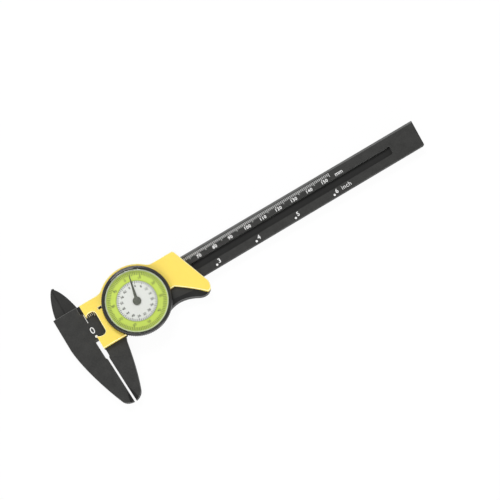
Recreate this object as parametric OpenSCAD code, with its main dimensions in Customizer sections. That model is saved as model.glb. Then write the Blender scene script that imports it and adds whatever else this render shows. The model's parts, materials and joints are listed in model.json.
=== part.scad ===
// Plastic dial caliper, 150 mm, lying on its back.
// X runs along the beam from the fixed measuring face, Y across it towards the inside blades,
// Z out through the dial. The measuring edges are drawn as opened by rest_opening.

/* [Beam and fixed jaw] */
// Distance from the fixed measuring face to the middle of the beam's free end
beam_reach = 211.8; // [205:0.1:230]
// Angle by which the free end is off square
end_slant = 4.5; // [0:0.5:5]
// Width of the beam
beam_w = 15.7; // [15.5:0.1:16]
// Thickness of the beam
beam_t = 4.25; // [3.8:0.05:4.4]
// Height of the front faces of the beam, the head and the outside jaws
front_z = 6; // [5.9:0.1:6.2]
// Edge of the head on the side away from the slider
head_left = -15.8; // [-17:0.1:-15.8]
// Edge of the head on the side of the inside blades
head_top = 12.9; // [12.5:0.1:13.2]
// How far the outside jaws reach past the centre line of the beam
jaw_reach = 47.4; // [44:0.2:50]
// Height of the inside blades' tips above the centre line of the beam
blade_reach = 28.9; // [26:0.5:32]

/* [Slider] */
// Opening of the jaws as drawn
rest_opening = 1.1; // [0.8:0.1:2]
// Edge of the slider on the side of the inside blades
slider_top = 12.3; // [12.2:0.1:12.5]
// Thickness of the plate that closes the slider's back
back_plate_t = 1.6; // [1.2:0.1:1.6]
// Height of the yellow cover's top face
cover_z = 9; // [8.9:0.1:9.2]
// Wall thickness of the yellow cover
cover_wall = 1; // [0.8:0.1:1.1]
// Opened width of the scale notch in the cover
notch_w = 14.1; // [13:0.1:14.3]
// Depth of the scale notch in the cover
notch_d = 5.7; // [5:0.1:5.9]

/* [Dial] */
// Place of the dial's axis along the beam
dial_x = 28.5; // [28:0.1:29]
// Place of the dial's axis across the beam
dial_y = -1.75; // [-2:0.05:-1.5]
// Outer radius of the bezel
bezel_r = 19.35; // [19.2:0.05:20]
// Height of the top of the bezel
bezel_z = 12.45; // [12.2:0.05:13]
// Height of the printed face of the dial
face_z = 9.7; // [9.6:0.05:9.8]
// Radius of the dial plate
dial_r = 17; // [16:0.1:17]
// Length of the pointer from its axis
pointer_len = 14.6; // [12:0.2:15.6]
// Angle by which the pointer stands short of its reading, as it was pressed on
pointer_slip = 2.4; // [0:0.2:4]
// Travel of the slider for one turn of the pointer
travel_per_turn = 25.4; // [25.4]

/* [Gears] */
// Teeth of the pinion that runs on the rack
rack_pinion_n = 10; // [10]
// Teeth of the gear beside it on the same arbor
drive_n = 12; // [12]
// Teeth of the wheel on the pointer's arbor
wheel_n = 36; // [36]
// Module of the drive gear and the wheel
wheel_module = 0.4; // [0.4]

/* [Hidden] */
$fn = 96;
bit = 0.01;

black = [0.16, 0.16, 0.155];
yellow = [0.98, 0.80, 0.24];
steel = [0.72, 0.73, 0.75];
brass = [0.80, 0.65, 0.33];

// Heights that the pieces share
beam_back_z = front_z - beam_t;
web_z = front_z + 0.12;
web_t = 0.93;
deck_z = web_z + web_t;
wall_foot_z = 3;
slider_foot_z = wall_foot_z - 0.05;
blade_gap = 0.12;
blade_split_z = slider_foot_z + blade_gap;

// Rounding of the beam's front edge above the scale, across it and down
brow_w = 1.25;
brow_h = 0.9;

// Where the head ends over the beam, and the foot of the head beside the outside jaw
head_right = 2.2;
foot_end = [0.1, -8.45];

// Rack and gears
rack_pitch = travel_per_turn * drive_n / wheel_n / rack_pinion_n;
rack_module = rack_pitch / PI;
rack_pinion_r = rack_pinion_n * rack_module / 2;
rack_angle = 28;
rack_addendum = 0.75 * rack_module;
rack_dedendum = rack_module;
groove_top = 1.7;
groove_bottom = -3.2;
groove_x0 = 33;
groove_x1 = 193.3;
groove_z = front_z - 1.8;
pinion_y = groove_top - rack_dedendum - rack_pinion_r;
wheel_distance = (wheel_n + drive_n) * wheel_module / 2;
pinion_x = dial_x + sqrt(wheel_distance^2 - (pinion_y - dial_y)^2);
wheel_angle = 25;
wheel_addendum = 0.8 * wheel_module;
wheel_dedendum = wheel_module;
mesh_dir = atan2(dial_y - pinion_y, dial_x - pinion_x);

// Slider outline
slider_left = rest_opening - 0.8;
slider_bottom = -14.55;
slider_corner = [59.1, slider_top];
slider_hip = [66.7, -9.8];
slider_toe = [64.3, -16.8];
grip_root = [50.1, -5.1];
grip_along = (slider_toe - grip_root) / norm(slider_toe - grip_root);
grip_side = [-grip_along.y, grip_along.x];
grip_hollow = 0.3;
grip_overlap = 1.7;
bulge_r = 20.7;
bulge_fillet = 6;
rail_y = beam_w / 2 + 0.1;
gib_gap = 0.55;
notch_y0 = -8.1;
notch_wall_in = 0.45;
notch_wall_out = 1.05;
arm_left = -14.6;
arm_top = head_top + 0.2;
boss_r = 17.4;
well_r = 18;
bore_r = 1.6;
clip_places = [6, 52];

// Dial stack
case_r = 16.6;
case_inner_r = 15.7;
case_top_z = face_z - 0.6;
bead_z = case_top_z - 1.4;
skirt_r = case_r + 0.1;
crystal_z = face_z + 0.9;
crystal_t = 0.75;
crystal_r = 17.45;
movement_z = 8.2;
movement_t = 0.7;
wheel_z = deck_z + 0.3;
arbor_r = 0.75;
pinion_arbor_r = 0.6;
running_gap = 0.04;

plate_from = [13, -12];
plate_to = [57, 12];
screw_places = [[17, 10.1], [53, 10.1], [17, -10.3], [53, -10.3]];
post_turns = [60, 180, 300];
post_ring_r = 12.6;

// Points on curves
function arc(centre, r, from, to, n) =
    [for (i = [0:n]) centre + r * [cos(from + (to - from) * i / n), sin(from + (to - from) * i / n)]];
function curve3(a, b, c, n) =
    [for (i = [0:n]) let (t = i / n) (1 - t)^2 * a + 2 * t * (1 - t) * b + t^2 * c];
function curve4(a, b, c, d, n) =
    [for (i = [0:n]) let (t = i / n, s = 1 - t) s^3 * a + 3 * s^2 * t * b + 3 * s * t^2 * c + t^3 * d];

// Involute gear outlines
function involute(r, base) = r <= base ? 0 : sqrt((r / base)^2 - 1) * 180 / PI - acos(base / r);
function flank(pitch_r, base, half, r) = half + involute(pitch_r, base) - involute(r, base);
function gear_points(n, module_, angle, addendum, dedendum, fill = 0.46) =
    let (pitch_r = n * module_ / 2, base = pitch_r * cos(angle), half = 180 / n * fill,
         root = pitch_r - dedendum, tip = pitch_r + addendum, low = max(root, base),
         radii = concat([root], [for (i = [0:4]) low + (tip - low) * i / 4]))
    [for (k = [0:n - 1]) each concat(
        [for (r = radii) let (a = 360 * k / n - flank(pitch_r, base, half, max(r, low)))
            r * [cos(a), sin(a)]],
        [for (i = [len(radii) - 1:-1:0]) let (r = radii[i],
            a = 360 * k / n + flank(pitch_r, base, half, max(r, low))) r * [cos(a), sin(a)]])];

module at_dial(z = 0) {
    translate([dial_x, dial_y, z]) children();
}

module at_pinion(z = 0) {
    translate([pinion_x, pinion_y, z]) children();
}

// A cut that thins a jaw towards its measuring edge at the tip, front and back
module tip_bevels(side) {
    for (flip = [0, 1])
        translate([0, -jaw_reach + 10, front_z / 2])
            mirror([0, 0, flip])
                translate([0, 0, front_z / 2])
                    rotate([7, side * 31, 0])
                        translate([-15, -30, 0])
                            cube([30, 60, 6]);
}

// The fixed head and outside jaw, seen from the front
module head_outline() {
    tip = [0, -jaw_reach];
    polygon(concat(
        [[head_left, head_top], [-1.6, head_top], [-1.6, beam_w / 2], [head_right, beam_w / 2],
         [head_right, -beam_w / 2], [foot_end.x, -beam_w / 2], foot_end, [-1.95, foot_end.y],
         [-1.6, -19.2], [-0.93, -20.1]],
        curve3(tip, [-5.1, -jaw_reach + 0.8], [-6.05, -jaw_reach + 4.2], 6),
        curve4([-6.12, -jaw_reach + 4.4], [-11.5, -29.45], [-15.05, -15], [head_left + 0.2, -6.5], 12)));
}

// The halves of the inside blade: the fixed one has its edge on the left
module fixed_blade_outline() {
    polygon(concat([[-8.1, beam_w / 2 + 2], [-1.6, beam_w / 2 + 2]],
        curve4([-1.06, 12], [-2.28, 18.6], [-4.42, 25.7], [-8.1, blade_reach], 10)));
}

module moving_blade_outline() {
    edge = -8.1 + rest_opening;
    polygon(concat([[edge, arm_top - 0.4], [edge, blade_reach]],
        curve4([edge - 1.3, blade_reach + 0.1], [-11, 26.6], [-13.8, 18.6], [arm_left, arm_top - 0.4], 10)));
}

module rack_groove() {
    half_tip = 0.21 * rack_pitch - rack_addendum * tan(rack_angle);
    half_root = 0.21 * rack_pitch + rack_dedendum * tan(rack_angle);
    tip_y = groove_top - rack_dedendum - rack_addendum;
    first = ceil((groove_x0 + 1 - pinion_x) / rack_pitch);
    last = floor((groove_x1 - 1 - pinion_x) / rack_pitch) - 1;
    teeth = [for (k = [first:last]) let (x = pinion_x + (k + 0.5) * rack_pitch) each [
        [x - half_root, groove_top], [x - half_tip, tip_y],
        [x + half_tip, tip_y], [x + half_root, groove_top]]];
    translate([0, 0, groove_z])
        linear_extrude(height = beam_t)
            polygon(concat([[groove_x0, groove_bottom], [groove_x0, groove_top]], teeth,
                [[groove_x1 + 0.3, groove_top], [groove_x1 + 0.6, groove_top - 0.3],
                 [groove_x1 + 0.2, groove_bottom + 0.8], [groove_x1 - 0.6, groove_bottom]]));
}

module beam() {
    half = beam_w / 2;
    color(black) difference() {
        union() {
            translate([-2, 0, 0]) rotate([90, 0, 90])
                linear_extrude(height = beam_reach + 4)
                    polygon(concat(
                        [for (a = [0:22.5:90])
                            [half - brow_w * (1 - sin(a)), front_z - brow_h * (1 - cos(a))]],
                        [[half, beam_back_z + 0.3], [half - 0.3, beam_back_z],
                         [-half + 0.3, beam_back_z], [-half, beam_back_z + 0.3],
                         [-half, front_z - 0.3], [-half + 0.3, front_z]]));
            difference() {
                linear_extrude(height = front_z) head_outline();
                translate([head_left - 1, beam_w / 2 + 0.02, -1])
                    cube([20, 10, blade_split_z + blade_gap + 1]);
                tip_bevels(1);
            }
            translate([0, 0, blade_split_z + blade_gap])
                linear_extrude(height = 5 - blade_split_z - blade_gap) fixed_blade_outline();
        }
        rack_groove();
        // Free end, with its front edge chamfered
        translate([beam_reach, 0, 0]) rotate(-end_slant) {
            translate([0, -beam_w, 0]) cube([4, 2 * beam_w, 10]);
            translate([-0.5, -beam_w, front_z]) rotate([0, 45, 0]) cube([2, 2 * beam_w, 2]);
        }
    }
}

// The slider's top edge round the bulge over the dial, left to right, drawn in by d
function bulge_edge(d) =
    let (reach = bulge_r + bulge_fillet, rise = slider_top + bulge_fillet - dial_y,
         run = sqrt(reach^2 - rise^2), turn = atan2(rise, run), step = 2.4, dial = [dial_x, dial_y])
    concat(arc(dial + [-run, rise], bulge_fillet + d, -90, -turn, 6),
           arc(dial, bulge_r - d, 180 - turn - step, turn + step, 33),
           arc(dial + [run, rise], bulge_fillet + d, 180 + turn, 270, 6));

// The slider's outline, drawn in by d
module slider_plan(d = 0) {
    slant = slider_hip - slider_corner;
    across = [slant.y, -slant.x] / norm(slant);
    top_x = slider_corner.x + d * across.x + (d + d * across.y) * -slant.x / slant.y;
    toe = slider_toe + d * grip_side - 0.6 * d * grip_along;
    root = grip_root + d * grip_side + [0.2 * d, 0];
    polygon(concat(
        [[slider_left + d, slider_bottom + d], [slider_left + d, slider_top - d]],
        bulge_edge(d),
        [[top_x + d * across.x - 0.6, slider_top - d],
         [top_x + d * across.x + 0.25, slider_top - d - 0.9],
         slider_hip + d * across],
        curve3([67.4 - d, -11.7], [67.6 - 1.1 * d, -16.9 + 1.1 * d], toe, 6),
        curve3(toe, (toe + root) / 2 + 2 * grip_hollow * grip_side, root, 8),
        [[40, grip_root.y], [40, -12.9], [16.3, -12.9], [14.3 - 0.6 * d, slider_bottom + d]]));
}

// The thumb grip below the cover's slanted edge, and under the foot of the wall there
module grip_plan() {
    inside = grip_overlap * grip_side;
    polygon(concat([[37, -15.8], [40.2, -15.2]],
        curve4([41, -14.8], [46.5, -12.45], [52, -12.7], [58.8, -16.5], 10),
        curve3([59.6, -16.9], [62.6, -18.3], [65.3, -16.9], 5),
        [slider_toe + inside, grip_root + inside, [37, grip_root.y + 1.3]]));
}

// Everything in front of the grip's face, which falls away towards its hollow edge
module grip_space() {
    translate([dial_x, -8.5, deck_z]) rotate([atan(0.42), 0, -7])
        translate([-20, -40, 0]) cube([90, 40, 20]);
    translate([0, -20, deck_z]) cube([90, 40, 20]);
}

module moving_jaw_plan() {
    x = rest_opening + 0.02;
    polygon(concat([[x - 0.35, -12], [x - 0.35, -18.9], [x - 0.93, -20.1], [x, -jaw_reach]],
        curve3([x + 0.1, -jaw_reach], [5.2, -jaw_reach + 1.1], [6.3, -jaw_reach + 4.4], 6),
        curve4([6.4, -jaw_reach + 4.7], [9.5, -34.3], [11.5, -25], [13, -16.6], 10),
        [[13.7, -15], [13.9, -12]]));
}

module slider_frame() {
    color(black) difference() {
        union() {
            linear_extrude(height = slider_foot_z) slider_plan();
            linear_extrude(height = deck_z) slider_plan(cover_wall + 0.06);
            at_dial(wall_foot_z) cylinder(r = boss_r, h = deck_z - wall_foot_z);
            grip();
            difference() {
                linear_extrude(height = front_z) moving_jaw_plan();
                translate([rest_opening + 0.02, 0, 0]) tip_bevels(-1);
            }
            blade_arm();
            cover_clips();
            at_dial() for (turn = post_turns) rotate(turn) translate([post_ring_r, 0, deck_z - bit])
                cylinder(r = 1.3, h = movement_z - deck_z + bit);
        }
        // Channel for the beam, with room for the gib spring on its upper side
        translate([-1, -rail_y, -1]) cube([80, 2 * rail_y, web_z + 1]);
        translate([4, 0, -1]) cube([52, rail_y + gib_gap, web_z + 0.4]);
        // Rebate for the back plate
        translate([plate_from.x - 0.1, plate_from.y - 0.1, -1])
            cube([plate_to.x - plate_from.x + 0.2, plate_to.y - plate_from.y + 0.2, back_plate_t + 1.02]);
        // Notch over the scale, and the stretch that the head's foot meets when closed
        translate([-1, notch_y0 - notch_wall_out - 0.1, front_z])
            cube([1 + slider_left + notch_d + notch_wall_out + 0.1, notch_w + 2 * notch_wall_out + 0.2, 5]);
        translate([-1, foot_end.y - 0.4, -1])
            cube([foot_end.x + rest_opening + 1.12, 2, web_z + 1]);
        for (place = screw_places) translate([place.x, place.y, 0]) cylinder(r = 0.8, h = 4.2);
        at_dial() cylinder(r = bore_r, h = 10);
        at_pinion() cylinder(r = bore_r, h = 10);
        at_dial() for (turn = post_turns) rotate(turn) translate([post_ring_r, 0, deck_z - 0.4])
            cylinder(r = 0.5, h = 5);
    }
}

module grip() {
    difference() {
        linear_extrude(height = deck_z) grip_plan();
        grip_space();
    }
}

module blade_arm() {
    low = rail_y + 0.02;
    linear_extrude(height = slider_foot_z)
        polygon([[arm_left, low], [slider_left + 2, low], [slider_left + 2, slider_top - 0.2],
                 [slider_left - 0.1, slider_top - 0.2], [slider_left - 0.1, arm_top], [arm_left, arm_top]]);
    translate([0, 0, 0.8])
        linear_extrude(height = slider_foot_z - 0.8) moving_blade_outline();
}

// Lugs that snap into the cover's walls
module cover_clips() {
    for (x = clip_places) translate([x, slider_top - cover_wall - 0.3, 4.6]) cube([3, 0.75, 0.9]);
}

module gib_spring() {
    y0 = rail_y - 0.08;
    t = 0.22;
    color(steel) translate([0, 0, 2.2]) linear_extrude(height = 3)
        polygon([[5, y0 + 0.35], [30, y0 + 0.02], [55, y0 + 0.35],
                 [55, y0 + 0.35 + t], [30, y0 + 0.02 + t], [5, y0 + 0.35 + t]]);
}

module back_plate() {
    color(black) difference() {
        translate(plate_from) cube([plate_to.x - plate_from.x, plate_to.y - plate_from.y, back_plate_t]);
        for (place = screw_places) translate([place.x, place.y, -bit]) {
            cylinder(r = 0.85, h = 3);
            cylinder(r1 = 1.65, r2 = 0.85, h = 0.8);
        }
        // Corners rounded by a chamfer
        for (x = [plate_from.x, plate_to.x], y = [plate_from.y, plate_to.y])
            translate([x, y, -bit]) rotate(45) translate([-0.7, -0.7, 0]) cube([1.4, 1.4, 3]);
        // Shallow finger panel
        translate([22, -5, -bit]) cube([26, 10, 0.3]);
    }
}

module back_screws() {
    color(steel) for (place = screw_places) translate([place.x, place.y, 0.05]) difference() {
        union() {
            cylinder(r1 = 1.58, r2 = 0.78, h = 0.78);
            cylinder(r = 0.78, h = 3.9);
        }
        for (turn = [0, 90]) rotate(turn) translate([-1, -0.17, -bit]) cube([2, 0.34, 0.4]);
    }
}

// The notch over the scale, rounded at its mouth and its far corners, and widened by d
module notch_plan(d = 0) {
    x0 = slider_left + bit;
    x1 = slider_left + notch_d + d;
    y0 = notch_y0 - d;
    y1 = notch_y0 + notch_w + d;
    corner = 2 + d;
    mouth = 1.5;
    polygon(concat(
        [[-2, y0 + mouth]],
        curve3([x0, y0 + mouth], [x0 + 1.2, y0], [x0 + 2.9, y0], 6),
        arc([x1 - corner, y0 + corner], corner, -90, 0, 6),
        arc([x1 - corner, y1 - corner], corner, 0, 90, 6),
        curve3([x0 + 2.9, y1], [x0 + 1.2, y1], [x0, y1 - mouth], 6),
        [[-2, y1 - mouth]]));
}

module front_cover() {
    foot = grip_overlap + 0.06;
    color(yellow) difference() {
        translate([0, 0, wall_foot_z]) linear_extrude(height = cover_z - wall_foot_z) difference() {
            slider_plan();
            notch_plan();
        }
        // Hollow inside the walls, and the face that stands out past the notch's own wall
        translate([0, 0, wall_foot_z - 1]) linear_extrude(height = cover_z - 1.1 - wall_foot_z + 1)
            difference() {
                slider_plan(cover_wall);
                difference() {
                    notch_plan(notch_wall_out);
                    notch_plan(notch_wall_in);
                }
            }
        at_dial() cylinder(r = well_r, h = 20);
        // Room for the beam, and feet of the walls over the jaw, the arm and the grip
        translate([-1, -rail_y - 0.02, 0]) cube([80, 2 * rail_y + 0.04, front_z + 0.15]);
        translate([-1, -20, 0]) cube([46, 20 - rail_y, front_z + 0.15]);
        translate([-1, 4, 0]) cube([2.4, 10, front_z + 0.15]);
        translate([0, 0, 0.06]) difference() {
            linear_extrude(height = deck_z) polygon([
                grip_root + foot * grip_side - 6 * grip_along, slider_toe + foot * grip_side + grip_along,
                slider_toe - 4 * grip_side + grip_along, grip_root - 4 * grip_side - 6 * grip_along]);
            grip_space();
        }
        // Index slot beside the bezel
        translate([8.6, 4.95, cover_z - 3]) cube([1.9, 1.2, 6]);
        // Windows for the clips
        for (x = clip_places) translate([x - 0.1, slider_top - 2, 4.5]) cube([3.2, 4, 1.1]);
    }
}

module dial_case() {
    color(black) at_dial() rotate_extrude() polygon([
        [case_inner_r, deck_z], [case_r, deck_z], [case_r, bead_z - 0.1], [case_r - 0.5, bead_z - 0.1],
        [case_r - 0.5, bead_z + 0.8], [case_r, bead_z + 0.8], [case_r, case_top_z],
        [case_inner_r, case_top_z]]);
}

module bezel_spring() {
    color(steel) at_dial(bead_z + 0.46) rotate_extrude(angle = 340)
        translate([case_r - 0.46, 0]) square([0.36, 0.28]);
}

module movement_plate() {
    color(brass) difference() {
        at_dial(movement_z) cylinder(r = 14.6, h = movement_t);
        at_dial() cylinder(r = arbor_r + running_gap, h = 20);
        at_pinion() cylinder(r = pinion_arbor_r + running_gap, h = 20);
        at_dial() for (turn = post_turns) rotate(turn) translate([post_ring_r, 0, movement_z]) {
            cylinder(r = 0.55, h = 5);
            translate([0, 0, movement_t - 0.45]) cylinder(r1 = 0.55, r2 = 1.05, h = 0.46);
        }
        // Windows that show the wheel
        at_dial(movement_z - 1) for (turn = [118, 242]) rotate(turn)
            translate([7.5, 0, 0]) cylinder(r = 2.6, h = 5);
    }
}

module movement_screws() {
    color(steel) at_dial() for (turn = post_turns) rotate(turn)
        translate([post_ring_r, 0, movement_z + movement_t]) difference() {
            union() {
                translate([0, 0, -0.43]) cylinder(r1 = 0.5, r2 = 0.98, h = 0.43);
                translate([0, 0, -2]) cylinder(r = 0.48, h = 2);
            }
            translate([-2, -0.12, -0.2]) cube([4, 0.24, 1]);
        }
}

module bush(bore) {
    difference() {
        union() {
            translate([0, 0, web_z + 0.02]) cylinder(r = 1.58, h = web_t);
            translate([0, 0, deck_z + 0.01]) cylinder(r = 2.2, h = 0.2);
        }
        cylinder(r = bore, h = 20);
    }
}

module centre_bush() {
    color(brass) at_dial() bush(arbor_r + running_gap);
}

module pinion_bush() {
    color(brass) at_pinion() bush(pinion_arbor_r + running_gap);
}

module bezel() {
    knurls = 120;
    knurl_z = 9.5;
    color(black) at_dial() union() {
        rotate_extrude() polygon(concat([
            [case_r - 0.35, bead_z], [skirt_r + 0.9, bead_z], [skirt_r + 0.9, cover_z + 0.15],
            [bezel_r - 0.25, cover_z + 0.15]],
            arc([bezel_r - 1.25, bezel_z - 1], 1, 0, 90, 6),
            arc([crystal_r + 0.65, bezel_z - 0.6], 0.6, 90, 180, 6),
            [[crystal_r + 0.05, crystal_z], [dial_r + 0.05, crystal_z],
             [dial_r + 0.05, face_z - 0.5], [skirt_r, face_z - 0.5], [skirt_r, bead_z + 0.4],
             [case_r - 0.35, bead_z + 0.4]]));
        translate([0, 0, knurl_z]) difference() {
            linear_extrude(height = bezel_z - 1.5 - knurl_z) polygon(
                [for (i = [0:2 * knurls - 1]) let (a = 180 / knurls * i)
                    (i % 2 == 0 ? bezel_r : bezel_r - 0.3) * [cos(a), sin(a)]]);
            translate([0, 0, -1]) cylinder(r = bezel_r - 0.9, h = 5);
        }
    }
}

module crystal() {
    color([0.85, 0.92, 0.95, 0.35]) at_dial(crystal_z) rotate_extrude() polygon(concat(
        [[0, 0], [crystal_r, 0], [crystal_r, crystal_t - 0.25], [crystal_r - 0.25, crystal_t]],
        curve3([crystal_r - 1.2, crystal_t], [9, crystal_t + 0.3], [0, crystal_t + 0.3], 8)));
}

module dial_plate() {
    color([0.78, 0.87, 0.33]) difference() {
        at_dial(face_z - 0.5) cylinder(r = dial_r, h = 0.5);
        at_dial() cylinder(r = bore_r, h = 20);
    }
}

module centre_arbor() {
    color(steel) at_dial() {
        translate([0, 0, web_z + 0.1]) cylinder(r = arbor_r, h = face_z + 0.25 - web_z - 0.1);
        translate([0, 0, face_z + 0.2]) cylinder(r1 = arbor_r, r2 = 0.55, h = 0.4);
    }
}

module centre_wheel() {
    color(brass) at_dial(wheel_z) difference() {
        rotate(mesh_dir + 180 / wheel_n)
            linear_extrude(height = 0.6)
                polygon(gear_points(wheel_n, wheel_module, wheel_angle, wheel_addendum, wheel_dedendum));
        translate([0, 0, -bit]) cylinder(r = arbor_r, h = 2);
        for (turn = [0:72:288]) rotate(turn) translate([4, 0, -bit]) cylinder(r = 1.5, h = 2);
    }
}

module pointer() {
    turn = 90 - 360 * rest_opening / travel_per_turn + pointer_slip;
    color([0.3, 0.32, 0.32]) at_dial(face_z + 0.25) rotate(turn) difference() {
        union() {
            cylinder(r = 1.7, h = 0.2);
            linear_extrude(height = 0.2) polygon([[0, -0.5], [4.2, -0.62], [5.2, -0.5],
                [pointer_len, -0.1], [pointer_len, 0.1], [5.2, 0.5], [4.2, 0.62], [0, 0.5]]);
        }
        translate([0, 0, -bit]) cylinder(r = arbor_r, h = 1);
    }
}

module pointer_cap() {
    color([0.3, 0.32, 0.32]) at_dial(face_z + 0.45) difference() {
        cylinder(r = 2.2, h = 0.3);
        translate([0, 0, -bit]) cylinder(r = arbor_r, h = 0.17);
    }
}

module pinion_arbor() {
    color(steel) at_pinion(groove_z + 0.25)
        cylinder(r = pinion_arbor_r, h = movement_z + movement_t - 0.1 - groove_z - 0.25);
}

module rack_pinion() {
    color(brass) at_pinion(groove_z + 0.3) difference() {
        rotate(90) linear_extrude(height = 1.3)
            polygon(gear_points(rack_pinion_n, rack_module, rack_angle, rack_addendum,
                                rack_module * 0.95));
        translate([0, 0, -bit]) cylinder(r = pinion_arbor_r, h = 3);
    }
}

module drive_gear() {
    color(brass) at_pinion(wheel_z - 0.05) difference() {
        rotate(mesh_dir) linear_extrude(height = 0.75)
            polygon(gear_points(drive_n, wheel_module, wheel_angle, wheel_addendum, wheel_dedendum));
        translate([0, 0, -bit]) cylinder(r = pinion_arbor_r, h = 3);
    }
}

beam();
slider_frame();
gib_spring();
back_plate();
back_screws();
front_cover();
dial_case();
bezel_spring();
movement_plate();
movement_screws();
centre_bush();
pinion_bush();
bezel();
crystal();
dial_plate();
centre_arbor();
centre_wheel();
pointer();
pointer_cap();
pinion_arbor();
rack_pinion();
drive_gear();
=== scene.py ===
"""Looks of the plastic dial caliper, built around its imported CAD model.

Lengths are in millimetres, and MM turns them into the scene's metres. Only the lamps and the
floor are placed in metres. X runs along the beam from the zero of its scale, Y towards the
inside blades, and Z out of the dial.
"""
import json
import math

import bmesh
import bpy
from mathutils import Euler, Matrix, Vector


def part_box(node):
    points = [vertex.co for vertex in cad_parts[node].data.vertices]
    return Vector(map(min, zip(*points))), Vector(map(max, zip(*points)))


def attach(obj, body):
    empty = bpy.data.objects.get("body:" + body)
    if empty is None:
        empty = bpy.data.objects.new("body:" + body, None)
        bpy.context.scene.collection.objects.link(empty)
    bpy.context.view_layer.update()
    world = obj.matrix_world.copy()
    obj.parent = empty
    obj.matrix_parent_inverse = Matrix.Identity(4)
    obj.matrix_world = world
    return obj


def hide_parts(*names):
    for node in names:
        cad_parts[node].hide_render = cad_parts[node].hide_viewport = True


MM = 0.001
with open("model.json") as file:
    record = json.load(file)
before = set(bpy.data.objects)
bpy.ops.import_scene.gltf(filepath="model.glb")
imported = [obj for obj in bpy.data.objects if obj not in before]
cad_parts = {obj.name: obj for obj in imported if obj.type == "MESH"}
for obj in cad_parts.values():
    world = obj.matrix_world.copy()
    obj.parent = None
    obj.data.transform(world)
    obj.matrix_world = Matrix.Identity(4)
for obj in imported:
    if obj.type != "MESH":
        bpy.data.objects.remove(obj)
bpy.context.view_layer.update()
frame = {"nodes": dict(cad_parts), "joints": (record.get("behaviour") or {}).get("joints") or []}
scene = bpy.context.scene


def corners(node):
    """The lowest and the highest corner of a CAD node, in millimetres."""
    return [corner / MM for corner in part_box(node)]


# Places from the CAD model
joints = {joint["name"]: joint for joint in frame["joints"]}
DIAL = Vector(joints["bezel_turn"]["pos_m"]) / MM
OPENING = -joints["slider_slide"]["range_m"][0] / MM
BEAM_FACE = corners("beam")[1].z
DIAL_FACE = corners("dial_plate")[1].z
POINTER_LOW = corners("pointer")[0].z
CAP_LOW = corners("pointer_cap")[0].z
BEZEL_LOW, BEZEL_TOP = [corner.z for corner in corners("bezel")]
BEZEL_RADIUS = corners("bezel")[1].x - DIAL.x
CRYSTAL_SEAT = corners("crystal")[0].z
CRYSTAL_RADIUS = corners("crystal")[1].x - DIAL.x

# Sizes that only the looks need, and the pointer's angles in degrees
INCH = 25.4
POINTER_LAG = 2.4
POINTER_TURN = 90 - 360 * OPENING / INCH + POINTER_LAG
CRYSTAL_RIM = 1.0
DISC_RADIUS = 11.05
DISC_RISE = 0.04
PRINT_RISE = 0.03
PRINT_GAP = 0.001


# Camera


def place_camera():
    """Looks down at the caliper from the photo's viewing angle."""
    place = Vector((14.386, -115.288, 668.939))
    degrees = (9.1269, -6.9237, -30.7175)
    lens = bpy.data.cameras.new("camera")
    lens.lens = 88.61
    lens.sensor_width = 36
    camera = bpy.data.objects.new("camera", lens)
    camera.location = place * MM
    camera.rotation_mode = "ZYX"
    camera.rotation_euler = Euler([math.radians(angle) for angle in degrees], "ZYX")
    scene.collection.objects.link(camera)
    scene.camera = camera


place_camera()


# Finishes


class Level:
    """What one socket of a node gives. The operators on it add Math nodes."""

    def __init__(self, board, socket):
        self.board, self.socket = board, socket

    def _maths(self, operation, *terms):
        return self.board.node("ShaderNodeMath", {"operation": operation}, dict(enumerate(terms)))

    def __add__(self, other):
        return self._maths("ADD", self, other)

    __radd__ = __add__

    def __sub__(self, other):
        return self._maths("SUBTRACT", self, other)

    def __rsub__(self, other):
        return self._maths("SUBTRACT", other, self)

    def __mul__(self, other):
        return self._maths("MULTIPLY", self, other)

    __rmul__ = __mul__

    def __truediv__(self, other):
        return self._maths("DIVIDE", self, other)

    def __pow__(self, other):
        return self._maths("POWER", self, other)

    def __or__(self, other):
        return self._maths("MAXIMUM", self, other)


class Board:
    """The nodes of a material or a world, and the one way they are added."""

    def __init__(self, owner):
        owner.use_nodes = True
        self.tree = owner.node_tree

    def node(self, kind, settings, inputs, output=0):
        """Adds a node with its settings, then the values or links of its sockets.

        What comes back is the level of one of its outputs."""
        node = self.tree.nodes.new(kind)
        for name, value in settings.items():
            if name == "stops":
                self._set_stops(node.color_ramp, value)
            else:
                setattr(node, name, value)
        for key, value in inputs.items():
            if isinstance(value, Level):
                self.tree.links.new(value.socket, node.inputs[key])
            else:
                node.inputs[key].default_value = value
        return Level(self, node.outputs[output])

    def seen_plainly(self):
        """1 for rays that the camera, a mirror or glass sends out, else 0."""
        camera, mirror, glass = [self.node("ShaderNodeLightPath", {}, {}, f"Is {ray} Ray")
                                 for ray in ("Camera", "Glossy", "Transmission")]
        return camera | mirror | glass

    @staticmethod
    def _set_stops(ramp, stops):
        """Gives a ramp its stops, each a position and a grey level."""
        while len(ramp.elements) < len(stops):
            ramp.elements.new(0.5)
        for element, (position, value) in zip(ramp.elements, stops):
            element.position = position
            element.color = (value, value, value, 1)


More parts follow.
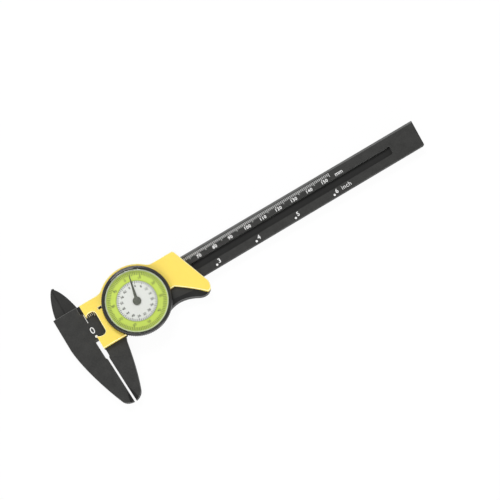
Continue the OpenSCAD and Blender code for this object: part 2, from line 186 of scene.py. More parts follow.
class Finish(Board):
    """A material with one Principled shader, and the ways its patterns are made.

    fixed gives the sockets that are the same all over, with _ for a space."""

    def __init__(self, name, **fixed):
        self.material = bpy.data.materials.new(name)
        super().__init__(self.material)
        self.shader = self.tree.nodes["Principled BSDF"]
        for socket, value in fixed.items():
            self.shader.inputs[socket.replace("_", " ")].default_value = value
        self.place = self.node("ShaderNodeTexCoord", {}, {}, "Object")

    def give(self, socket, level):
        """Links a level or a colour to a socket of the shader."""
        self.tree.links.new(level.socket, self.shader.inputs[socket])

    def noise(self, size, detail=3, where=None):
        """Noise from 0 to 1 with features of that size in millimetres."""
        inputs = {"Vector": where or self.place, "Scale": 1 / (size * MM), "Detail": detail}
        return self.node("ShaderNodeTexNoise", {}, inputs)

    def stretched(self, x, y, z):
        """The place, for a pattern that is stretched so many times along each axis."""
        inputs = {"Vector": self.place, "Scale": (1 / x, 1 / y, 1 / z)}
        return self.node("ShaderNodeMapping", {"vector_type": "POINT"}, inputs)

    def ramp(self, level, *stops):
        """The level that another is turned into, straight between stops of (from, to)."""
        return self.node("ShaderNodeValToRGB", {"stops": stops}, {0: level})

    def blend(self, share, first, second):
        """A colour between two, each a triple or another colour."""
        ends = [tone if isinstance(tone, Level) else (*tone, 1) for tone in (first, second)]
        inputs = {0: share, 6: ends[0], 7: ends[1]}
        return self.node("ShaderNodeMix", {"data_type": "RGBA"}, inputs, 2)

    def bump(self, height, depth):
        """Lets a height from 0 to 1 stand out by a depth in millimetres."""
        inputs = {"Height": height, "Distance": depth * MM, "Strength": 1.0}
        self.give("Normal", self.node("ShaderNodeBump", {}, inputs))

    def from_dial(self):
        """Distance from the dial's axis in millimetres."""
        offset = self.node("ShaderNodeVectorMath", {"operation": "SUBTRACT"},
                           {0: self.place, 1: DIAL * MM})
        flat = self.node("ShaderNodeVectorMath", {"operation": "MULTIPLY"},
                         {0: offset, 1: (1 / MM, 1 / MM, 0)})
        return self.node("ShaderNodeVectorMath", {"operation": "LENGTH"}, {0: flat}, "Value")

    def turning_lines(self, density, detail):
        """Fine rings round the dial's axis, about that many to a millimetre."""
        return self.node("ShaderNodeTexNoise", {"noise_dimensions": "1D"},
                         {"W": self.from_dial(), "Scale": density, "Detail": detail})


def toned(colour, share):
    """A colour made darker or lighter by a factor."""
    return tuple(share * part for part in colour)


def moulded_black(name, dark, light, roughness, texture=1.0, groove=None):
    """Black nylon-like plastic from a spark-eroded mould, a little polished by hands.

    texture is how far its grain stands out, and groove the two heights between which its
    colour is darkened towards the bottom of a groove, as painted shade."""
    made = Finish(name, Specular_IOR_Level=0.16)
    grain = made.noise(0.22, 2)
    fleck = made.noise(0.7, 4)
    handled = made.ramp(made.noise(14), (0.38, 0), (0.64, 1))
    cloud = made.noise(5)
    patch = made.ramp(fleck * 0.55 + cloud * 0.45, (0.35, 0), (0.68, 1))
    colour = made.blend(patch, dark, light)
    # Painted shade: the colour darkens towards the bottom of the groove, where less light reaches
    if groove:
        height = made.node("ShaderNodeSeparateXYZ", {}, {0: made.place}, "Z") / MM
        raised = made.ramp((height - groove[0]) / (groove[1] - groove[0]), (0, 0), (1, 1))
        colour = made.blend(raised, toned(dark, 0.55), colour)
    made.give("Base Color", colour)
    made.give("Roughness", roughness + fleck * 0.16 - handled * 0.10)
    made.bump(grain + fleck * 0.6, 0.012 * texture)
    return made.material


def glossy_yellow(name, base, shade, roughness):
    """Yellow styrene plastic with the faint ripple and dust of a smooth mould."""
    made = Finish(name, Specular_IOR_Level=0.45, Subsurface_Weight=0.12,
                  Subsurface_Radius=(1.0, 0.45, 0.08), Subsurface_Scale=1.2 * MM)
    dust = (0.62, 0.44, 0.07)
    cloud = made.noise(16, 2)
    speck = made.ramp(made.noise(0.5, 4), (0.66, 0), (0.78, 1))
    tint = made.blend(cloud, base, shade)
    made.give("Base Color", made.blend(speck * 0.35, tint, dust))
    made.give("Roughness", roughness + made.noise(3, 4) * 0.12 + speck * 0.2)
    made.bump(made.noise(1.4, 1) + made.noise(0.3, 2) * 0.15, 0.004)
    return made.material


def polished_black(name):
    """The bezel's gloss, with fine turning lines, a crest painted paler as a painted highlight, and a
    few dull smears.
    """
    made = Finish(name, Specular_IOR_Level=0.35, Coat_Roughness=0.06)
    lines = made.turning_lines(14, 3)
    smear = made.ramp(made.noise(4, 4), (0.45, 0), (0.7, 1))
    start, width = 17.6, 1.4
    across = (made.from_dial() - start) / width
    # Painted highlight: a paler band of base colour along the crest of the rim
    crest = made.ramp(across, (0.15, 0), (0.4, 1), (0.6, 1), (0.85, 0))
    plain = made.blend(smear, (0.004, 0.004, 0.004), (0.008, 0.008, 0.007))
    made.give("Base Color", made.blend(crest, plain, (0.012, 0.012, 0.010)))
    made.give("Roughness", 0.08 + smear * 0.09 + lines * 0.03)
    made.give("Coat Weight", 0.25 - smear * 0.2)
    made.bump(lines, 0.002)
    return made.material


def clear_plastic(name):
    """The crystal: almost nothing face on, pale towards grazing views as a painted reflection, and a
    pale ring at its moulded edge as a painted highlight.
    """
    made = Finish(name, Base_Color=(0.84, 0.92, 0.66, 1), IOR=1.49, Specular_IOR_Level=0.5)
    facing = made.node("ShaderNodeLayerWeight", {}, {"Blend": 0.32}, "Facing")
    haze = made.ramp(made.noise(6, 4), (0.45, 0), (0.75, 1))
    made.give("Roughness", 0.03 + haze * 0.05)
    inset = (CRYSTAL_RADIUS - made.from_dial()) / CRYSTAL_RIM
    rim = made.ramp(inset, (0.15, 0), (0.28, 1), (0.75, 1), (1.0, 0))
    # Painted reflection and highlight: the pale colour shows at grazing views and in a ring at the
    # edge
    made.give("Alpha", 0.03 + haze * 0.015 + (facing ** 2.2) * 0.6 + rim * 0.40)
    return made.material


def dial_print(name, base, shade, *stops):
    """Printed plate: even ink with a fine dot grain, darker at some radii. stops give the darker
    colour's share by radius, which on the green ring is painted shade.
    """
    made = Finish(name, Roughness=0.5, Specular_IOR_Level=0.3)
    reach = stops[-1][0]
    shaded = made.ramp(made.from_dial() / reach, *[(at / reach, share) for at, share in stops])
    dots = made.noise(0.25, 2)
    grain = made.ramp(dots, (0.3, 0), (0.75, 0.22))
    ink = made.blend(shaded, base, shade)
    made.give("Base Color", made.blend(grain, ink, toned(base, 0.62)))
    made.bump(dots, 0.003)
    return made.material


def printed_ink(name, colour, worn):
    """Pad-printed ink, thinner where the grain of the plastic shows through."""
    made = Finish(name, Specular_IOR_Level=0.3)
    thin = made.ramp(made.noise(0.35, 4), (0.52, 0), (0.78, 1))
    made.give("Base Color", made.blend(thin * 0.6, colour, worn))
    made.give("Roughness", 0.5 + thin * 0.2)
    made.bump(made.noise(0.2, 2), 0.004)
    return made.material


def painted_metal(name, colour):
    """The pointer's baked dark paint."""
    made = Finish(name, Specular_IOR_Level=0.5)
    fleck = made.noise(0.3)
    made.give("Base Color", made.blend(fleck, colour, toned(colour, 1.5)))
    made.give("Roughness", 0.38 + made.noise(1.5) * 0.14)
    made.bump(fleck, 0.003)
    return made.material


def turned_metal(name, colour, tarnish, roughness):
    """Turned or stamped metal round the dial's axis, with fine rings and some tarnish."""
    made = Finish(name, Metallic=1.0)
    rings = made.turning_lines(9, 4)
    patch = made.ramp(made.noise(3, 5), (0.4, 0), (0.75, 1))
    made.give("Base Color", made.blend(patch * 0.7, colour, tarnish))
    made.give("Roughness", roughness + rings * 0.12 + patch * 0.14)
    made.bump(rings, 0.004)
    return made.material


def rolled_steel(name, colour, roughness):
    """Strip and screw steel with lines along the beam."""
    made = Finish(name, Metallic=1.0)
    lines = made.noise(0.12, 4, made.stretched(30, 1, 1))
    patch = made.noise(4, 4)
    made.give("Base Color", made.blend(patch, colour, toned(colour, 0.72)))
    made.give("Roughness", roughness + lines * 0.16)
    made.bump(lines, 0.003)
    return made.material


NYLON = ((0.026, 0.026, 0.025), (0.042, 0.042, 0.040))
BLACK = moulded_black("black_moulded", *NYLON, 0.52)
# The beam's rack groove gets painted shade towards its bottom
BEAM_BLACK = moulded_black("beam_moulded", *NYLON, 0.52, groove=(4.3, 5.9))
# Paler black for eased edges: partly wear, partly painted sheen where edges catch the light
BLACK_WORN_AND_SHEEN = moulded_black("black_worn_edge_and_sheen", (0.100, 0.100, 0.098), (0.150, 0.150, 0.147), 0.42, 0.4)
# Darkest black as painted shade, for faces turned away from the light and for the index slot
BLACK_SHADED = moulded_black("black_painted_shade", (0.010, 0.010, 0.010), (0.018, 0.018, 0.017), 0.6)
YELLOW = glossy_yellow("yellow_cover", (0.960, 0.735, 0.122), (0.945, 0.700, 0.104), 0.32)
# Pale yellow for the cover's eased edges: a painted highlight where they catch the light
YELLOW_EDGE_HIGHLIGHT = glossy_yellow("yellow_edge_highlight", (0.990, 0.880, 0.460), (0.985, 0.850, 0.400), 0.26)
BEZEL = polished_black("bezel_gloss")
CLEAR = clear_plastic("crystal_clear")
# Painted shade: the green darkens next to the white disc and under the bezel's lip
GREEN = dial_print("dial_green", (0.600, 0.760, 0.085), (0.330, 0.460, 0.045),
                   (10.9, 1), (11.9, 0), (16.6, 0), (17.0, 0.3))
DISC = dial_print("dial_white", (0.800, 0.805, 0.800), (0.600, 0.605, 0.600),
                  (8.0, 0), (9.6, 0.12), (11.2, 0.3))
WHITE_INK = printed_ink("white_ink", (0.86, 0.86, 0.85), (0.42, 0.42, 0.41))
GREY_INK = printed_ink("grey_ink", (0.006, 0.007, 0.009), (0.04, 0.045, 0.052))
GREEN_INK = printed_ink("green_ink", (0.012, 0.026, 0.004), (0.06, 0.10, 0.015))
POINTER_PAINT = painted_metal("pointer_paint", (0.007, 0.008, 0.007))
CAP_PAINT = painted_metal("cap_paint", (0.022, 0.024, 0.021))
BRASS = turned_metal("brass", (0.80, 0.60, 0.26), (0.42, 0.27, 0.10), 0.26)
ARBOR = turned_metal("arbor_steel", (0.62, 0.63, 0.65), (0.40, 0.39, 0.38), 0.22)
STEEL = rolled_steel("spring_steel", (0.60, 0.61, 0.63), 0.28)
ZINC = rolled_steel("screw_steel", (0.56, 0.56, 0.58), 0.34)


# Shaping

CAD_WELD = 0.02
SAME_PLACE = 0.0001
FLAT_ENOUGH = math.radians(0.6)
SHARP_EDGE = math.radians(50)
NEARLY_STRAIGHT = math.radians(150)
LONGEST_SLIDE = 1.2
SLIDE_SHARE = 0.8
HALF_OR_LESS = 0.42
EM_PER_FIGURE = 1.37


def add_piece(name, work, body, slot, *materials, sharp=30):
    """Makes a piece of worked geometry that is in its place, and fixes it to its body.

    It is smooth apart from edges over that many degrees."""
    bmesh.ops.recalc_face_normals(work, faces=work.faces)
    for face in work.faces:
        face.smooth = True
    for edge in work.edges:
        if len(edge.link_faces) == 2 and edge.calc_face_angle() > math.radians(sharp):
            edge.smooth = False
    mesh = bpy.data.meshes.new(name)
    work.to_mesh(mesh)
    work.free()
    piece = bpy.data.objects.new(name, mesh)
    for material in materials:
        mesh.materials.append(material)
    scene.collection.objects.link(piece)
    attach(piece, body)
    return piece


def cad_shape(node):
    """The CAD node's solid as clean faces, with its flat faces whole again."""
    work = bmesh.new()
    work.from_mesh(frame["nodes"][node].data)
    # The imported normals and texture places don't fit the cleaned faces
    for layers in (work.loops.layers.float_vector, work.loops.layers.uv):
        for layer in list(layers.values()):
            layers.remove(layer)
    bmesh.ops.remove_doubles(work, verts=work.verts, dist=CAD_WELD * MM)
    bmesh.ops.dissolve_limit(work, angle_limit=FLAT_ENOUGH, verts=work.verts, edges=work.edges)
    return work


def room_beside(line, chosen):
    """How far an edge can be eased before its new face meets the next corners.

    The easing may slide along most of an edge that stays sharp, up to LONGEST_SLIDE, and
    under half of one that is eased itself."""
    room = math.inf
    for loop in line.link_loops:
        after = loop.link_loop_next
        for corner, other in ((loop, loop.link_loop_prev.edge), (after, after.edge)):
            angle = corner.calc_angle()
            reach = other.calc_length() / MM
            if other not in chosen and angle < NEARLY_STRAIGHT:
                room = min(room, SLIDE_SHARE * min(reach, LONGEST_SLIDE) * math.sin(angle))
            elif other in chosen and corner.is_convex:
                room = min(room, HALF_OR_LESS * reach * math.tan(angle / 2))
    return room


def eased(node, body, slot, width, weigh, finishes, segments=2, pick=None):
    """Replaces a CAD node by its own shape with eased edges, the easing in the second finish.

    weigh(middle) gives the share of the width that an outside edge is eased by, and
    pick(normal, middle) the place in finishes of a whole face's finish."""
    work = cad_shape(node)
    for side in work.faces:
        side.material_index = pick(side.normal, side.calc_center_median() / MM) if pick else 0
    weight = work.edges.layers.float.new("bevel_weight_edge")
    chosen = {}
    for line in work.edges:
        if len(line.link_faces) == 2 and line.is_convex and line.calc_face_angle() > SHARP_EDGE:
            share = weigh((line.verts[0].co + line.verts[1].co) / 2 / MM)
            if share:
                chosen[line] = share
    for line, share in chosen.items():
        line[weight] = min(share, room_beside(line, chosen) / width)
    piece = add_piece(node + "_shell", work, body, slot, *finishes)
    ease = piece.modifiers.new("ease", "BEVEL")
    ease.limit_method = "WEIGHT"
    ease.width = width * MM
    ease.segments = segments
    ease.use_clamp_overlap = False
    ease.material = 1
    shade = piece.modifiers.new("shade", "WEIGHTED_NORMAL")
    shade.keep_sharp = True
    shade.weight = 60
    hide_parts(node)


def join_rings(work, here, there):
    """Adds the faces between two closed rings of corners."""
    for k in range(len(here)):
        n = (k + 1) % len(here)
        work.faces.new((here[k], there[k], there[n], here[n]))


def lathe(work, profile, steps, centre=DIAL, wave=None):
    """Turns a closed profile of (radius, height) round an upright axis.

    wave(k, i) is what the radius of point k gains at step i."""
    rings = []
    for i in range(steps):
        turn = 2 * math.pi * i / steps
        ring = []
        for k, (radius, height) in enumerate(profile):
            radius += wave(k, i) if wave else 0
            at = centre + Vector((radius * math.cos(turn), radius * math.sin(turn), height))
            ring.append(work.verts.new(at * MM))
        rings.append(ring)
    for i in range(steps):
        join_rings(work, rings[i], rings[(i + 1) % steps])
    bmesh.ops.remove_doubles(work, verts=work.verts, dist=SAME_PLACE * MM)
    bmesh.ops.dissolve_degenerate(work, edges=work.edges, dist=SAME_PLACE * MM)


def plate(work, outline, low, high):
    """A closed plate over an outline of (x, y) points, between two heights."""
    under = [work.verts.new(Vector((x, y, low)) * MM) for x, y in outline]
    over = [work.verts.new(Vector((x, y, high)) * MM) for x, y in outline]
    work.faces.new(under[::-1])
    work.faces.new(over)
    join_rings(work, over, under)


def stroke(work, start, end, width, low, high):
    """A straight bar with square ends."""
    start, end = Vector(start), Vector(end)
    side = (end - start).normalized()
    side = Vector((-side.y, side.x)) * width / 2
    plate(work, [start + side, start - side, end - side, end + side], low, high)


def rounding(centre, radius, start, end, steps):
    """Points of an arc between two angles in degrees."""
    angles = [math.radians(start + (end - start) * i / steps) for i in range(steps + 1)]
    return [(centre[0] + radius * math.cos(a), centre[1] + radius * math.sin(a)) for a in angles]


def dot(work, centre, radius, low, high):
    """A printed round spot."""
    plate(work, rounding(centre, radius, 0, 360, 28)[:-1], low, high)


def by_rank(i, ten, five, one):
    """The value for a mark at a ten, at a five between two tens, or at any other number."""
    return ten if i % 10 == 0 else five if i % 5 == 0 else one


def lettering(work, words, height, low, high, weight=0.0, spacing=1.0):
    """Adds printed words or numbers that high. words holds (text, x, y), with the middle of
    each text's box. weight makes the strokes wider on each side, and spacing spreads them."""
    for text, x, y in words:
        curve = bpy.data.curves.new("figures", "FONT")
        curve.body = text
        curve.size = height * MM * EM_PER_FIGURE
        curve.offset = weight * MM
        curve.space_character = spacing
        curve.extrude = (high - low) / 2 * MM
        curve.resolution_u = 4
        letters = bpy.data.objects.new("figures", curve)
        scene.collection.objects.link(letters)
        bpy.context.view_layer.update()
        shape = bpy.data.meshes.new_from_object(
            letters.evaluated_get(bpy.context.evaluated_depsgraph_get()))
        places = [vertex.co for vertex in shape.vertices]
        lows = Vector([min(place[i] for place in places) for i in range(3)])
        highs = Vector([max(place[i] for place in places) for i in range(3)])
        shift = Vector((x, y, (low + high) / 2)) * MM - (lows + highs) / 2
        shape.transform(Matrix.Translation(shift))
        work.from_mesh(shape)
        bpy.data.objects.remove(letters)
        bpy.data.curves.remove(curve)
        bpy.data.meshes.remove(shape)
    bmesh.ops.remove_doubles(work, verts=work.verts, dist=SAME_PLACE * MM)


# Moulded pieces

# Limits of their regions, for the finish of a face and the easing of an edge
GROOVE_START, GROOVE_END = 32.5, 194.5
GROOVE_LOW, GROOVE_HIGH = -3.5, 2.2
JAW_TOP, JAW_END = -16, 14
BLADE_FOOT = 13.2
BLADE_ROOT = 9
HEAD_TOP = 12
BEAM_END = 200
GRIP_START = 30
STEEP = 0.3
COVER_LOW, COVER_HIGH = corners("front_cover")
PLATE_LOW, PLATE_HIGH = corners("back_plate")
SCREW_PLACES = ((17, 10.1), (53, 10.1), (17, -10.3), (53, -10.3))
SCREW_SEAT = 2.4


def in_groove(middle):
    """Whether a place is in the long groove that holds the rack."""
    return GROOVE_START < middle.x < GROOVE_END and GROOVE_LOW < middle.y < GROOVE_HIGH


def jaw_side(normal, middle):
    """Whether a face is a wall of an outside jaw or the bevel at its tip."""
    on_jaw = middle.y < JAW_TOP and middle.x < JAW_END
    return on_jaw and (abs(normal.z) < STEEP or abs(normal.x) > STEEP)


def beam_easing(middle):
    """Leaves the rack's groove and the blade sharp, and eases the head's top edge more."""
    root = middle.y > BLADE_ROOT and middle.x > -1.7 and 3 < middle.z < 5.4
    if middle.y > BLADE_FOOT or root or in_groove(middle):
        return 0
    return 0.85 if middle.y > HEAD_TOP else 0.6


def beam_finish(normal, middle):
    """The rounded edge above the scale gets the pale edge finish as painted sheen, and the groove's
    walls get it as painted light in their shade.

    The chamfer at the free end and the jaw's walls get the darkest finish, as painted shade."""
    brow = middle.x > 3 and normal.y > 0.1 and normal.z > 0.2
    if brow or in_groove(middle) and abs(normal.z) < STEEP:
        return 1
    chamfer = middle.x > BEAM_END and normal.x > 0.5 and normal.z > 0.5
    return 2 if chamfer or jaw_side(normal, middle) else 0


def frame_easing(middle):
    """Leaves sharp what the cover, the dial and the back plate hide, and eases narrow rims less."""
    under_cover = middle.z > BEAM_FACE - 0.1 and abs(middle.y) < 10.9 and middle.x < 48
    beside_cover = COVER_LOW.z - 0.3 < middle.z < COVER_LOW.z + 0.1
    under_wall = beside_cover and middle.x < 1 and middle.y > 7
    in_dial = middle.z > 7.2
    over_plate = PLATE_LOW.x - 0.2 < middle.x < PLATE_HIGH.x + 0.2
    plate_seat = middle.z < 0.1 and over_plate and abs(middle.y) < PLATE_HIGH.y + 0.2
    if under_cover or under_wall or in_dial or plate_seat:
        return 0
    return 0.5 if middle.z < 0.3 and middle.y > HEAD_TOP else 1


def frame_finish(normal, middle):
    """The slanting face of the thumb grip and the jaw's walls get the darkest finish, as painted
    shade.
    """
    grip = middle.x > GRIP_START and middle.z > 3 and normal.z > STEEP and normal.y < -0.2
    return 2 if grip or jaw_side(normal, middle) else 0


def cover_easing(middle):
    """Eases the cover's top edge in full, but not under the bezel, and leaves its foot sharp."""
    under_bezel = (middle - DIAL).xy.length < 18.5
    if middle.z < BEAM_FACE + 0.5:
        return 0
    return 1 if middle.z > COVER_HIGH.z - 0.1 and not under_bezel else 0.25


def plate_easing(middle):
    """Leaves the plate's inner side and the countersinks of its screws sharp."""
    at_screw = any((middle.xy - Vector(place)).length < SCREW_SEAT for place in SCREW_PLACES)
    return 0 if middle.z > 0.8 or at_screw else 1


def make_index():
    """Block in the darkest black that fills the index slot in the cover, beside the bezel, as painted
    shade for the slot's depth.
    """
    low, high = 7.1, COVER_HIGH.z - 0.1
    work = bmesh.new()
    stroke(work, (8.62, 5.55), (10.48, 5.55), 1.16, low, high)
    top = [edge for edge in work.edges
           if all(corner.co.z > (low + high) / 2 * MM for corner in edge.verts)]
    bmesh.ops.bevel(work, geom=top, offset=0.12 * MM, segments=2, profile=0.5, affect="EDGES")
    add_piece("index_slot_shade", work, "slider", None, BLACK_SHADED, sharp=50)


# The second finish on eased edges is paler black, partly wear and partly painted sheen; the third is
# painted shade
eased("beam", "beam", "black_plastic", 0.36, beam_easing, [BEAM_BLACK, BLACK_WORN_AND_SHEEN, BLACK_SHADED],
      pick=beam_finish)
eased("slider_frame", "slider", "black_plastic", 0.2, frame_easing,
      [BLACK, BLACK_WORN_AND_SHEEN, BLACK_SHADED], pick=frame_finish)
eased("back_plate", "slider", "black_plastic", 0.2, plate_easing, [BLACK, BLACK_WORN_AND_SHEEN])
# The cover's eased edges take the pale yellow painted highlight
eased("front_cover", "slider", "yellow_plastic", 0.42, cover_easing, [YELLOW, YELLOW_EDGE_HIGHLIGHT], 3)
make_index()


# Bezel and crystal


def make_bezel():
    """Rim that falls away inwards to the ledge of the crystal, with a knurled skirt outside."""
    work = bmesh.new()
    lip = CRYSTAL_RADIUS + 0.05
    ledge = lip - 0.45
    neck = ledge - 0.35
    hook = neck - 0.45
    skirt = BEZEL_RADIUS - 0.25
    foot = 9.15
    rim = rounding((skirt - 1, BEZEL_TOP - 1), 1, 0, 90, 7)
    rim += [(lip + 0.53, BEZEL_TOP - 0.02), (lip + 0.47, BEZEL_TOP - 0.06),
            (lip + 0.04, BEZEL_TOP - 0.49), (lip + 0.01, BEZEL_TOP - 0.54), (lip, BEZEL_TOP - 0.65)]
    inner = [(lip, CRYSTAL_SEAT + 0.02), (ledge, CRYSTAL_SEAT), (ledge, foot + 0.05),
             (neck, foot + 0.05), (neck, BEZEL_LOW + 0.4), (hook, BEZEL_LOW + 0.4), (hook, BEZEL_LOW),
             (lip + 0.1, BEZEL_LOW), (lip + 0.1, foot), (skirt - 0.3, foot),
             (skirt - 0.1, foot + 0.15), (skirt - 0.07, foot + 0.35)]
    flute = [(skirt - 0.05, foot + 0.47), (BEZEL_RADIUS, foot + 0.63), (BEZEL_RADIUS, foot + 1.47),
             (skirt - 0.03, foot + 1.75), (skirt - 0.03, foot + 1.95)]
    crest = len(rim) + len(inner) + 1
    depths = (0, 0.04, 0.20, 0.26, 0.20, 0.04)

    def knurl(k, i):
        """How far a flute takes the skirt in."""
        return -depths[i % len(depths)] if k in (crest, crest + 1) else 0

    lathe(work, rim + inner + flute, 120 * len(depths), wave=knurl)
    ring = add_piece("bezel_rim", work, "bezel", "bezel_plastic", BEZEL, sharp=50)
    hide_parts("bezel")


def make_crystal():
    """Low dome with a rounded shoulder, seated on the bezel's ledge."""
    work = bmesh.new()
    edge = CRYSTAL_RADIUS
    seat = CRYSTAL_SEAT
    shoulder = [(0, seat), (edge - 0.1, seat), (edge, seat + 0.1), (edge, seat + 0.5),
                (edge - 0.1, seat + 0.66), (edge - 0.35, seat + 0.74), (edge - 1.15, seat + 0.77)]
    reach, rise = edge - 1.4, 0.3
    dome = [(reach * x, seat + 0.73 + rise * y) for x, y in rounding((0, 0), 1, 12, 90, 13)]
    lathe(work, shoulder + dome, 144)
    lens = add_piece("crystal_lens", work, "bezel", "clear_plastic", CLEAR, sharp=40)
    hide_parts("crystal")


make_bezel()
make_crystal()


# Dial and pointer


def around(radius, turns):
    """A place on the dial, a share of a turn clockwise from its top."""
    angle = math.pi / 2 - 2 * math.pi * turns
    return DIAL.x + radius * math.cos(angle), DIAL.y + radius * math.sin(angle)


def make_disc():
    """White centre of the dial, with a thin raised edge."""
    low, high, edge = DIAL_FACE + PRINT_GAP, DIAL_FACE + DISC_RISE, DIAL_FACE + DISC_RISE / 2
    hole = 1.75
    work = bmesh.new()
    lathe(work, [(hole, low), (DISC_RADIUS - 0.02, low), (DISC_RADIUS, edge),
                 (DISC_RADIUS - 0.03, high), (hole + 0.03, high), (hole, edge)], 160)
    add_piece("dial_disc", work, "bezel", "dial_print", DISC)


def print_outer_scale():
    """A hundred ticks on the green ring, with a number at each ten."""
    low, high = DIAL_FACE + PRINT_GAP, DIAL_FACE + PRINT_RISE
    outer, width = 16.1, 0.30
    work = bmesh.new()
    for i in range(100):
        inner = by_rank(i, 13.8, 14.0, 14.3)
        stroke(work, around(inner, i / 100), around(outer, i / 100), width, low, high)
    tens = [(str(i), *around(13.0, i / 100)) for i in range(0, 100, 10)]
    lettering(work, tens, 1.45, low, high, weight=0.01)
    add_piece("outer_scale", work, "bezel", "dial_print", GREEN_INK)


def print_inner_scale():
    """64 ticks on the white disc, with a number at each fourth."""
    low, high = DIAL_FACE + PRINT_GAP, DIAL_FACE + DISC_RISE + 0.02
    outer, width = 11.3, 0.31
    work = bmesh.new()
    for i in range(64):
        inner = 9.6 if i % 4 == 0 else 9.95
        stroke(work, around(inner, i / 64), around(outer, i / 64), width, low, high)
    fours = [(str(i), *around(8.25, i / 64)) for i in range(0, 64, 4)]
    lettering(work, fours, 1.3, low, high, weight=0.05)
    add_piece("inner_scale", work, "bezel", "dial_print", GREY_INK)


def make_pointer():
    """Tapered hand with a raised spine and a round hub."""
    low = POINTER_LOW
    bore, hub = 0.76, 1.70
    # Distance from the axis, half width and rise of the spine
    spine = [(-0.6, 0.60, 0.02), (1.6, 0.74, 0.04), (4.2, 0.78, 0.06), (5.2, 0.68, 0.06),
             (9.5, 0.45, 0.04), (14.58, 0.18, 0.02)]
    work = bmesh.new()
    rows = []
    for along, half, rise in spine:
        section = [(-half, 0), (-half, 0.11), (0, 0.14 + rise), (half, 0.11), (half, 0)]
        rows.append([work.verts.new(Vector((along, side, low + up)) * MM) for side, up in section])
    for here, there in zip(rows, rows[1:]):
        join_rings(work, here, there)
    work.faces.new(rows[0])
    work.faces.new(rows[-1][::-1])
    lathe(work, [(bore, low), (hub - 0.05, low), (hub, low + 0.05), (hub, low + 0.15),
                 (hub - 0.05, low + 0.2), (bore, low + 0.2)], 64, Vector((0, 0, 0)))
    turn = Matrix.Rotation(math.radians(POINTER_TURN), 4, "Z")
    work.transform(Matrix.Translation(DIAL * MM) @ turn)
    hand = add_piece("pointer_hand", work, "pointer", "pointer_grey", POINTER_PAINT, sharp=20)
    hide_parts("pointer")


def make_cap():
    """Domed cap of the pointer, with a turned step."""
    low = CAP_LOW
    bore, reach, step = 0.76, 2.30, 1.59
    work = bmesh.new()
    lathe(work, [(0, low + 0.16), (bore, low + 0.16), (bore, low), (reach - 0.08, low),
                 (reach, low + 0.06), (reach, low + 0.16), (reach - 0.10, low + 0.23),
                 (step + 0.11, low + 0.25), (step + 0.05, low + 0.22), (step - 0.05, low + 0.22),
                 (step - 0.11, low + 0.26), (0.8, low + 0.295), (0, low + 0.30)], 72)
    cap = add_piece("pointer_boss", work, "pointer", "pointer_grey", CAP_PAINT, sharp=28)
    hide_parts("pointer_cap")


make_disc()
print_outer_scale()
print_inner_scale()
make_pointer()
make_cap()


# Printing on the beam

PRINT_LOW, PRINT_HIGH = BEAM_FACE - 0.02, BEAM_FACE + PRINT_RISE
SCALE_START = 0.15
SCALE_STRETCH = 1.0033
SCALE_TOP = 6.1
LAST_TICK = 155
FIGURE_MIDDLE = 2.97
WORD_MIDDLE = 3.0
INCH_MIDDLE = -5.1


def tick(i):
    """Where the print has that many millimetres, a little wide of the true place."""
    return SCALE_START + SCALE_STRETCH * i


def print_millimetres():
    """The ticks of the scale, and the long zero line on the head."""
    work = bmesh.new()
    for i in range(1, LAST_TICK + 1):
        foot = by_rank(i, 3.9, 3.75, 4.5)
        stroke(work, (tick(i), SCALE_TOP), (tick(i), foot), 0.27, PRINT_LOW, PRINT_HIGH)
    stroke(work, (-0.2, 7.3), (-0.2, 2.1), 0.34, PRINT_LOW, PRINT_HIGH)
    add_piece("millimetre_marks", work, "beam", None, WHITE_INK)


def print_figures():
    """The numbers of both scales, their units and the zero on the head."""
    work = bmesh.new()
    # Numbers of three digits stand right of their tick
    tens = [(str(i), tick(i) + (-0.1 if i < 100 else 1.1), FIGURE_MIDDLE) for i in range(10, 151, 10)]
    inches = [(str(i), INCH * i + 2.25, INCH_MIDDLE + 0.02) for i in range(1, 7)]
    lettering(work, tens, 1.85, PRINT_LOW, PRINT_HIGH, weight=0.07, spacing=1.14)
    lettering(work, [("mm", 161.1, WORD_MIDDLE)], 2.35, PRINT_LOW, PRINT_HIGH, weight=0.03)
    lettering(work, [("inch", 160.9, INCH_MIDDLE)], 2.6, PRINT_LOW, PRINT_HIGH, spacing=1.08)
    lettering(work, inches, 2.5, PRINT_LOW, PRINT_HIGH, weight=0.06)
    lettering(work, [("0", -0.17, -2.57)], 3.85, PRINT_LOW, PRINT_HIGH, weight=0.02)
    add_piece("beam_figures", work, "beam", None, WHITE_INK)


def print_inch_dots():
    """A dot at each inch, a little larger at zero."""
    work = bmesh.new()
    for i in range(7):
        dot(work, (INCH * i + 0.09, -6.5), 0.72 if i == 0 else 0.64, PRINT_LOW, PRINT_HIGH)
    add_piece("inch_dots", work, "beam", None, WHITE_INK)


print_millimetres()
print_figures()
print_inch_dots()


# Pieces kept from the CAD

KEPT = {
    "gib_spring": STEEL, "back_screws": ZINC, "dial_case": BLACK, "bezel_spring": STEEL,
    "movement_plate": BRASS, "movement_screws": ZINC, "centre_bush": BRASS, "pinion_bush": BRASS,
    "dial_plate": GREEN, "centre_arbor": ARBOR, "centre_wheel": BRASS, "pinion_arbor": ARBOR,
    "rack_pinion": BRASS, "drive_gear": BRASS,
}
for node, material in KEPT.items():
    held = frame["nodes"][node]
    held.data.materials.clear()
    held.data.materials.append(material)


# Floor and light

AMBIENT = 0.42


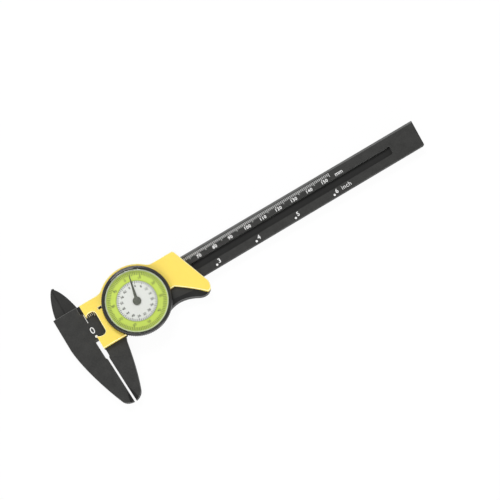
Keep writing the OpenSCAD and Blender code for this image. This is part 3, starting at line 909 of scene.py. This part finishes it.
def make_floor():
    """Pale floor that the camera sees as white, with the object's soft shadow kept."""
    half = 3.0
    depth = -0.05 * MM
    mesh = bpy.data.meshes.new("floor")
    mesh.from_pydata([(-half, -half, depth), (half, -half, depth), (half, half, depth),
                      (-half, half, depth)], [], [(0, 1, 2, 3)])
    made = Finish("floor_white", Roughness=0.9, Specular_IOR_Level=0.0,
                  Base_Color=(0.80, 0.80, 0.80, 1))
    glow = made.node("ShaderNodeEmission", {}, {"Color": (1, 1, 1, 1), "Strength": 1.02})
    plain = Level(made, made.shader.outputs[0])
    share = made.seen_plainly() * 0.93
    mixed = made.node("ShaderNodeMixShader", {}, {0: share, 1: plain, 2: glow})
    made.tree.links.new(mixed.socket, made.tree.nodes["Material Output"].inputs["Surface"])
    mesh.materials.append(made.material)
    floor = bpy.data.objects.new("floor", mesh)
    scene.collection.objects.link(floor)


def make_world():
    """Even pale surroundings that light with AMBIENT strength, white where they are looked at."""
    scene.world = bpy.data.worlds.new("studio")
    board = Board(scene.world)
    looked_at = board.seen_plainly()
    strength = AMBIENT + looked_at * (1 - AMBIENT)
    back = board.tree.nodes["Background"]
    back.inputs["Color"].default_value = (1, 1, 1, 1)
    board.tree.links.new(strength.socket, back.inputs["Strength"])


def make_lamp(name, place, aim, size, power):
    """Soft rectangular lamp. Its place, aim and size are in metres, its power in watts."""
    data = bpy.data.lights.new(name, "AREA")
    data.shape = "RECTANGLE"
    data.size, data.size_y = size
    data.energy = power
    lamp = bpy.data.objects.new(name, data)
    lamp.location = place
    lamp.rotation_euler = (Vector(aim) - Vector(place)).to_track_quat("-Z", "Y").to_euler()
    scene.collection.objects.link(lamp)


make_floor()
make_world()
make_lamp("key", (0.15, 0.55, 0.75), (0.06, 0, 0), (0.4, 0.28), 4.4)
make_lamp("fill", (-0.5, -0.35, 0.7), (0.05, 0, 0), (0.6, 0.6), 2.4)
make_lamp("front", (0.03, -0.8, 0.16), (0.03, 0, 0), (0.8, 0.2), 4.2)
scene.view_settings.view_transform = "Standard"
